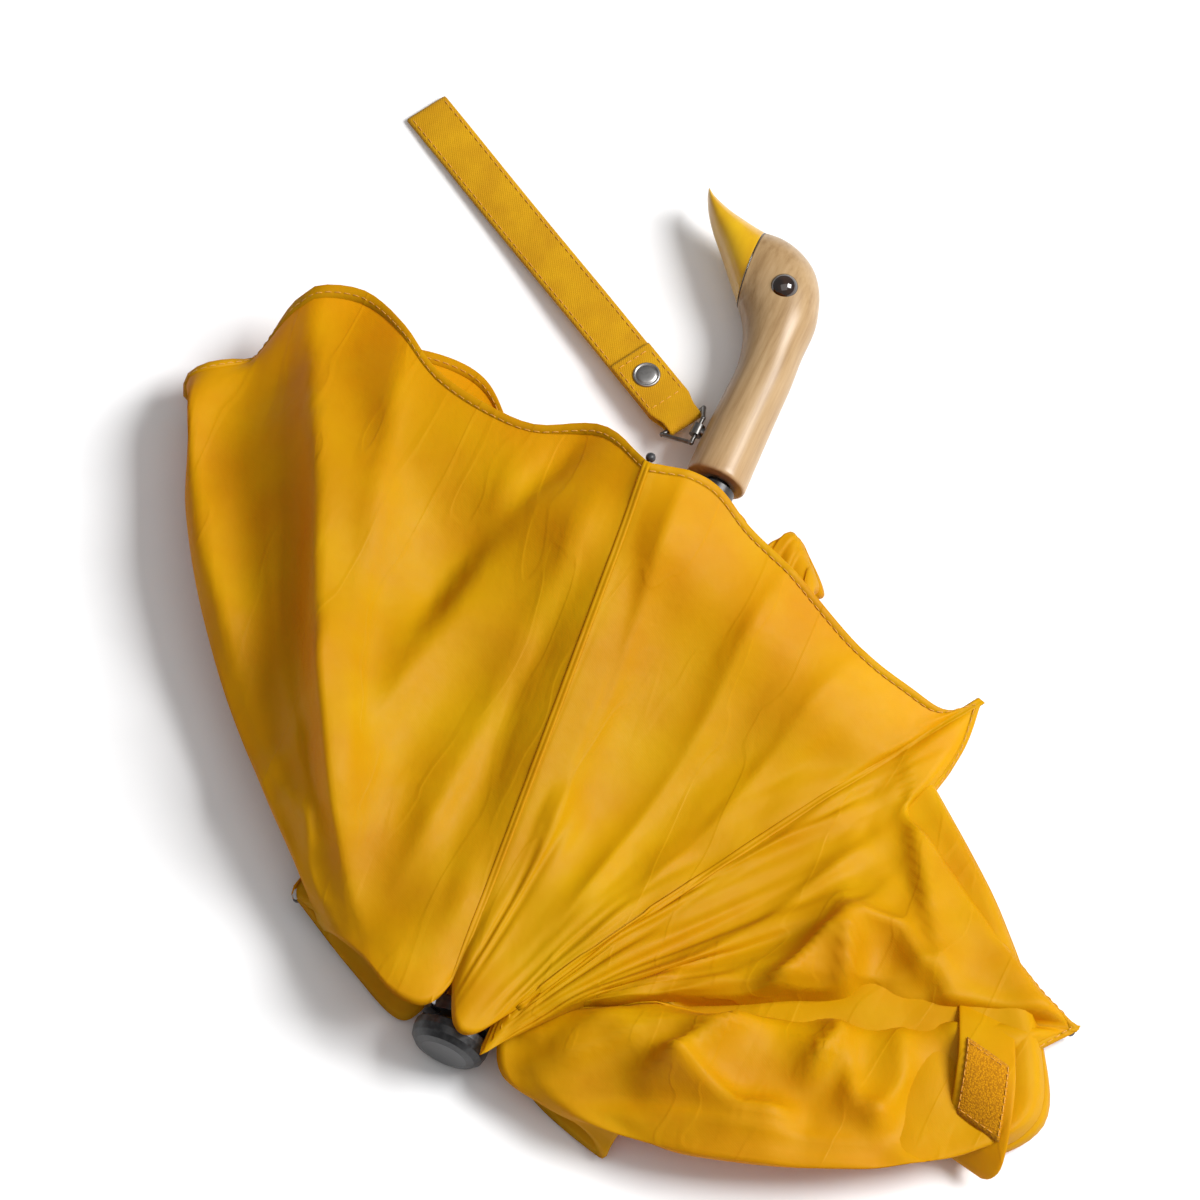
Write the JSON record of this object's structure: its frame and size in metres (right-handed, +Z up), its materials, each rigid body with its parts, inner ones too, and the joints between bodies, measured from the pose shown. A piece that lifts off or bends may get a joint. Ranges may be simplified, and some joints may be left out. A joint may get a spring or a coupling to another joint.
{
  "type": "folding umbrella",
  "caption": "Compact folding umbrella, closed and unwrapped, with a loose canopy, jointed ribs, sliding shaft tubes, a carved bird's-head grip and a wrist strap.",
  "frame": {"origin": "middle of the footprint, on the surface that the umbrella lies on", "axes": "+Z up, +Y along the shaft towards the grip, +X to the right of the shaft; the canopy spreads along X"},
  "size_m": [0.367, 0.3398, 0.066],
  "materials": {
    "birch": "clear gloss varnish over pale close-grained wood",
    "yellow_paint": "gloss yellow paint over wood",
    "eye_black": "polished",
    "bright_steel": "bright",
    "black_tube": "satin black lacquer",
    "dark_steel": "dark plated",
    "black_plastic": "moulded, semi-gloss",
    "canopy_cloth": "smooth woven pongee with a slight sheen",
    "velcro": "hook and loop pile",
    "strap_tape": "woven tape",
    "snap_metal": "plated, worn",
    "rib_steel": "zinc plated",
    "rib_black": "dark fibreglass rod with a plated tip"
  },
  "bodies": {
    "handle": {"wood_handle": "birch", "beak": "yellow_paint", "eyes": "eye_black", "handle_pin": "bright_steel", "lower_tube": "black_tube", "strap_lug": "dark_steel"},
    "middle_tube": {"middle_tube": "black_tube"},
    "upper_tube": {"upper_tube": "black_tube", "crown": "black_plastic", "crown_pins": "bright_steel", "top_cap": "black_plastic", "canopy": "canopy_cloth", "tie_strap": "canopy_cloth", "hook_patch": "velcro", "loop_patch": "velcro"},
    "top_catch": {"top_catch": "bright_steel"},
    "runner": {"runner": "black_plastic", "runner_pins": "bright_steel"},
    "strap_ring": {"strap_ring": "dark_steel"},
    "wrist_strap": {"wrist_strap": "strap_tape", "snap_cap": "snap_metal", "snap_socket": "snap_metal"},
    "top_rib_1": {"top_rib_1": "rib_steel"},
    "stretcher_1": {"stretcher_1": "rib_steel"},
    "mid_rib_1": {"mid_rib_1": "rib_steel"},
    "outer_rib_1": {"outer_rib_1": "rib_black"},
    "top_rib_2": {"top_rib_2": "rib_steel"},
    "stretcher_2": {"stretcher_2": "rib_steel"},
    "mid_rib_2": {"mid_rib_2": "rib_steel"},
    "outer_rib_2": {"outer_rib_2": "rib_black"},
    "top_rib_3": {"top_rib_3": "rib_steel"},
    "stretcher_3": {"stretcher_3": "rib_steel"},
    "mid_rib_3": {"mid_rib_3": "rib_steel"},
    "outer_rib_3": {"outer_rib_3": "rib_black"},
    "top_rib_4": {"top_rib_4": "rib_steel"},
    "stretcher_4": {"stretcher_4": "rib_steel"},
    "mid_rib_4": {"mid_rib_4": "rib_steel"},
    "outer_rib_4": {"outer_rib_4": "rib_black"},
    "top_rib_5": {"top_rib_5": "rib_steel"},
    "stretcher_5": {"stretcher_5": "rib_steel"},
    "mid_rib_5": {"mid_rib_5": "rib_steel"},
    "outer_rib_5": {"outer_rib_5": "rib_black"},
    "top_rib_6": {"top_rib_6": "rib_steel"},
    "stretcher_6": {"stretcher_6": "rib_steel"},
    "mid_rib_6": {"mid_rib_6": "rib_steel"},
    "outer_rib_6": {"outer_rib_6": "rib_black"},
    "top_rib_7": {"top_rib_7": "rib_steel"},
    "stretcher_7": {"stretcher_7": "rib_steel"},
    "mid_rib_7": {"mid_rib_7": "rib_steel"},
    "outer_rib_7": {"outer_rib_7": "rib_black"},
    "top_rib_8": {"top_rib_8": "rib_steel"},
    "stretcher_8": {"stretcher_8": "rib_steel"},
    "mid_rib_8": {"mid_rib_8": "rib_steel"},
    "outer_rib_8": {"outer_rib_8": "rib_black"}
  },
  "joints": [
    {"name": "middle_tube_slide", "type": "slide", "parent": "handle", "child": "middle_tube", "axis": [0, -1, 0], "range_m": [0, 0.11]},
    {"name": "upper_tube_slide", "type": "slide", "parent": "middle_tube", "child": "upper_tube", "axis": [0, -1, 0], "range_m": [0, 0.11]},
    {"name": "runner_slide", "type": "slide", "parent": "upper_tube", "child": "runner", "axis": [0, -1, 0], "range_m": [0, 0.11639], "deforming": ["canopy"]},
    {"name": "catch_press", "type": "slide", "parent": "upper_tube", "child": "top_catch", "axis": [0, 0, -1], "range_m": [0, 0.0006], "stiffness_N_per_m": 300},
    {"name": "ring_hinge", "type": "hinge", "parent": "handle", "child": "strap_ring", "pos_m": [-0.0194, 0.0813, 0.0145], "axis": [0, 1, 0], "range_deg": [-30, 55]},
    {"name": "strap_hinge", "type": "hinge", "parent": "strap_ring", "child": "wrist_strap", "pos_m": [-0.0261, 0.0848, 0.0095], "axis": [0.515, 0.8572, 0], "range_deg": [-45, 65]},
    {"name": "top_rib_1_hinge", "type": "hinge", "parent": "upper_tube", "child": "top_rib_1", "pos_m": [-0.0051, -0.1462, 0.0255], "axis": [1, 0, 0], "range_deg": [-0.5, 78.52]},
    {"name": "stretcher_1_hinge", "type": "hinge", "parent": "runner", "child": "stretcher_1", "pos_m": [-0.0032, 0.0408, 0.0255], "axis": [-1, 0, 0], "range_deg": [-0.5, 58.84]},
    {"name": "mid_rib_1_hinge", "type": "hinge", "parent": "top_rib_1", "child": "mid_rib_1", "pos_m": [-0.007, 0.0288, 0.0255], "axis": [-1, 0, 0], "range_deg": [-0.5, 190.52]},
    {"name": "outer_rib_1_hinge", "type": "hinge", "parent": "mid_rib_1", "child": "outer_rib_1", "pos_m": [-0.0095, -0.1362, 0.0255], "axis": [0.9862, 0.0372, 0.1612], "range_deg": [-0.5, 157.43]},
    {"name": "top_rib_2_hinge", "type": "hinge", "parent": "upper_tube", "child": "top_rib_2", "pos_m": [-0.01288, -0.1462, 0.02228], "axis": [0.7071, 0, 0.7071], "range_deg": [-0.5, 78.52]},
    {"name": "stretcher_2_hinge", "type": "hinge", "parent": "runner", "child": "stretcher_2", "pos_m": [-0.01154, 0.0408, 0.02362], "axis": [-0.7071, 0, -0.7071], "range_deg": [-0.5, 58.84]},
    {"name": "mid_rib_2_hinge", "type": "hinge", "parent": "top_rib_2", "child": "mid_rib_2", "pos_m": [-0.01422, 0.0288, 0.02093], "axis": [-0.7071, 0, -0.7071], "range_deg": [-0.5, 186.52]},
    {"name": "outer_rib_2_hinge", "type": "hinge", "parent": "mid_rib_2", "child": "outer_rib_2", "pos_m": [-0.02413, -0.1358, 0.02731], "axis": [0.4182, 0.1047, 0.9023], "range_deg": [-0.5, 152.36]},
    {"name": "top_rib_3_hinge", "type": "hinge", "parent": "upper_tube", "child": "top_rib_3", "pos_m": [-0.0161, -0.1462, 0.0145], "axis": [0, 0, 1], "range_deg": [-0.5, 78.52]},
    {"name": "stretcher_3_hinge", "type": "hinge", "parent": "runner", "child": "stretcher_3", "pos_m": [-0.0161, 0.0408, 0.0164], "axis": [0, 0, -1], "range_deg": [-0.5, 58.84]},
    {"name": "mid_rib_3_hinge", "type": "hinge", "parent": "top_rib_3", "child": "mid_rib_3", "pos_m": [-0.0161, 0.0288, 0.0126], "axis": [0, 0, -1], "range_deg": [-0.5, 170.52]},
    {"name": "outer_rib_3_hinge", "type": "hinge", "parent": "mid_rib_3", "child": "outer_rib_3", "pos_m": [-0.07253, -0.12625, 0.0101], "axis": [-0.0124, 0.008, 0.9999], "range_deg": [-0.5, 147.35]},
    {"name": "top_rib_4_hinge", "type": "hinge", "parent": "upper_tube", "child": "top_rib_4", "pos_m": [-0.01288, -0.1462, 0.00672], "axis": [-0.7071, 0, 0.7071], "range_deg": [-0.5, 78.52]},
    {"name": "stretcher_4_hinge", "type": "hinge", "parent": "runner", "child": "stretcher_4", "pos_m": [-0.01154, 0.0408, 0.00538], "axis": [0.7071, 0, -0.7071], "range_deg": [-0.5, 58.84]},
    {"name": "mid_rib_4_hinge", "type": "hinge", "parent": "top_rib_4", "child": "mid_rib_4", "pos_m": [-0.01422, 0.0288, 0.00806], "axis": [0.7071, 0, -0.7071], "range_deg": [-0.5, 190.52]},
    {"name": "outer_rib_4_hinge", "type": "hinge", "parent": "mid_rib_4", "child": "outer_rib_4", "pos_m": [-0.01599, -0.1362, 0.00983], "axis": [-0.5242, -0.0532, 0.8499], "range_deg": [-0.5, 160.21]},
    {"name": "top_rib_5_hinge", "type": "hinge", "parent": "upper_tube", "child": "top_rib_5", "pos_m": [-0.0051, -0.1462, 0.0035], "axis": [-1, 0, 0], "range_deg": [-0.5, 78.52]},
    {"name": "stretcher_5_hinge", "type": "hinge", "parent": "runner", "child": "stretcher_5", "pos_m": [-0.007, 0.0408, 0.0035], "axis": [1, 0, 0], "range_deg": [-0.5, 58.84]},
    {"name": "mid_rib_5_hinge", "type": "hinge", "parent": "top_rib_5", "child": "mid_rib_5", "pos_m": [-0.0032, 0.0288, 0.0035], "axis": [1, 0, 0], "range_deg": [-0.5, 190.52]},
    {"name": "outer_rib_5_hinge", "type": "hinge", "parent": "mid_rib_5", "child": "outer_rib_5", "pos_m": [-0.0007, -0.1362, 0.0035], "axis": [-0.8977, 0.0991, -0.4293], "range_deg": [-0.5, 166.41]},
    {"name": "top_rib_6_hinge", "type": "hinge", "parent": "upper_tube", "child": "top_rib_6", "pos_m": [0.00268, -0.1462, 0.00672], "axis": [-0.7071, 0, -0.7071], "range_deg": [-0.5, 78.52]},
    {"name": "stretcher_6_hinge", "type": "hinge", "parent": "runner", "child": "stretcher_6", "pos_m": [0.00134, 0.0408, 0.00538], "axis": [0.7071, 0, 0.7071], "range_deg": [-0.5, 58.84]},
    {"name": "mid_rib_6_hinge", "type": "hinge", "parent": "top_rib_6", "child": "mid_rib_6", "pos_m": [0.00402, 0.0288, 0.00806], "axis": [0.7071, 0, 0.7071], "range_deg": [-0.5, 190.52]},
    {"name": "outer_rib_6_hinge", "type": "hinge", "parent": "mid_rib_6", "child": "outer_rib_6", "pos_m": [0.00579, -0.1362, 0.00983], "axis": [-0.4683, 0.0674, -0.881], "range_deg": [-0.5, 158.34]},
    {"name": "top_rib_7_hinge", "type": "hinge", "parent": "upper_tube", "child": "top_rib_7", "pos_m": [0.0059, -0.1462, 0.0145], "axis": [0, 0, -1], "range_deg": [-0.5, 78.52]},
    {"name": "stretcher_7_hinge", "type": "hinge", "parent": "runner", "child": "stretcher_7", "pos_m": [0.0059, 0.0408, 0.0126], "axis": [0, 0, 1], "range_deg": [-0.5, 58.84]},
    {"name": "mid_rib_7_hinge", "type": "hinge", "parent": "top_rib_7", "child": "mid_rib_7", "pos_m": [0.0059, 0.0288, 0.0164], "axis": [0, 0, 1], "range_deg": [-0.5, 190.52]},
    {"name": "outer_rib_7_hinge", "type": "hinge", "parent": "mid_rib_7", "child": "outer_rib_7", "pos_m": [0.0059, -0.1362, 0.0189], "axis": [-0.0744, -0.0172, -0.9971], "range_deg": [-0.5, 99.72]},
    {"name": "top_rib_8_hinge", "type": "hinge", "parent": "upper_tube", "child": "top_rib_8", "pos_m": [0.00268, -0.1462, 0.02228], "axis": [0.7071, 0, -0.7071], "range_deg": [-0.5, 78.52]},
    {"name": "stretcher_8_hinge", "type": "hinge", "parent": "runner", "child": "stretcher_8", "pos_m": [0.00134, 0.0408, 0.02362], "axis": [-0.7071, 0, 0.7071], "range_deg": [-0.5, 58.84]},
    {"name": "mid_rib_8_hinge", "type": "hinge", "parent": "top_rib_8", "child": "mid_rib_8", "pos_m": [0.00402, 0.0288, 0.02093], "axis": [-0.7071, 0, 0.7071], "range_deg": [-0.5, 187.52]},
    {"name": "outer_rib_8_hinge", "type": "hinge", "parent": "mid_rib_8", "child": "outer_rib_8", "pos_m": [0.0119, -0.13597, 0.02527], "axis": [0.1679, -0.1631, -0.9722], "range_deg": [-0.5, 138.44]}
  ],
  "couplings": [
    {"joint": "top_rib_1_hinge", "follows": "runner_slide", "rad_per_m": 11.697},
    {"joint": "stretcher_1_hinge", "follows": "runner_slide", "rad_per_m": 8.7453},
    {"joint": "mid_rib_1_hinge", "follows": "runner_slide", "rad_per_m": 28.491},
    {"joint": "outer_rib_1_hinge", "follows": "runner_slide", "rad_per_m": 23.53},
    {"joint": "top_rib_2_hinge", "follows": "runner_slide", "rad_per_m": 11.697},
    {"joint": "stretcher_2_hinge", "follows": "runner_slide", "rad_per_m": 8.7453},
    {"joint": "mid_rib_2_hinge", "follows": "runner_slide", "rad_per_m": 27.892},
    {"joint": "outer_rib_2_hinge", "follows": "runner_slide", "rad_per_m": 22.769},
    {"joint": "top_rib_3_hinge", "follows": "runner_slide", "rad_per_m": 11.697},
    {"joint": "stretcher_3_hinge", "follows": "runner_slide", "rad_per_m": 8.7453},
    {"joint": "mid_rib_3_hinge", "follows": "runner_slide", "rad_per_m": 25.492},
    {"joint": "outer_rib_3_hinge", "follows": "runner_slide", "rad_per_m": 22.018},
    {"joint": "top_rib_4_hinge", "follows": "runner_slide", "rad_per_m": 11.697},
    {"joint": "stretcher_4_hinge", "follows": "runner_slide", "rad_per_m": 8.7453},
    {"joint": "mid_rib_4_hinge", "follows": "runner_slide", "rad_per_m": 28.491},
    {"joint": "outer_rib_4_hinge", "follows": "runner_slide", "rad_per_m": 23.946},
    {"joint": "top_rib_5_hinge", "follows": "runner_slide", "rad_per_m": 11.697},
    {"joint": "stretcher_5_hinge", "follows": "runner_slide", "rad_per_m": 8.7453},
    {"joint": "mid_rib_5_hinge", "follows": "runner_slide", "rad_per_m": 28.491},
    {"joint": "outer_rib_5_hinge", "follows": "runner_slide", "rad_per_m": 24.877},
    {"joint": "top_rib_6_hinge", "follows": "runner_slide", "rad_per_m": 11.697},
    {"joint": "stretcher_6_hinge", "follows": "runner_slide", "rad_per_m": 8.7453},
    {"joint": "mid_rib_6_hinge", "follows": "runner_slide", "rad_per_m": 28.491},
    {"joint": "outer_rib_6_hinge", "follows": "runner_slide", "rad_per_m": 23.665},
    {"joint": "top_rib_7_hinge", "follows": "runner_slide", "rad_per_m": 11.697},
    {"joint": "stretcher_7_hinge", "follows": "runner_slide", "rad_per_m": 8.7453},
    {"joint": "mid_rib_7_hinge", "follows": "runner_slide", "rad_per_m": 28.491},
    {"joint": "outer_rib_7_hinge", "follows": "runner_slide", "rad_per_m": 14.875},
    {"joint": "top_rib_8_hinge", "follows": "runner_slide", "rad_per_m": 11.697},
    {"joint": "stretcher_8_hinge", "follows": "runner_slide", "rad_per_m": 8.7453},
    {"joint": "mid_rib_8_hinge", "follows": "runner_slide", "rad_per_m": 28.042},
    {"joint": "outer_rib_8_hinge", "follows": "runner_slide", "rad_per_m": 20.682}
  ]
}
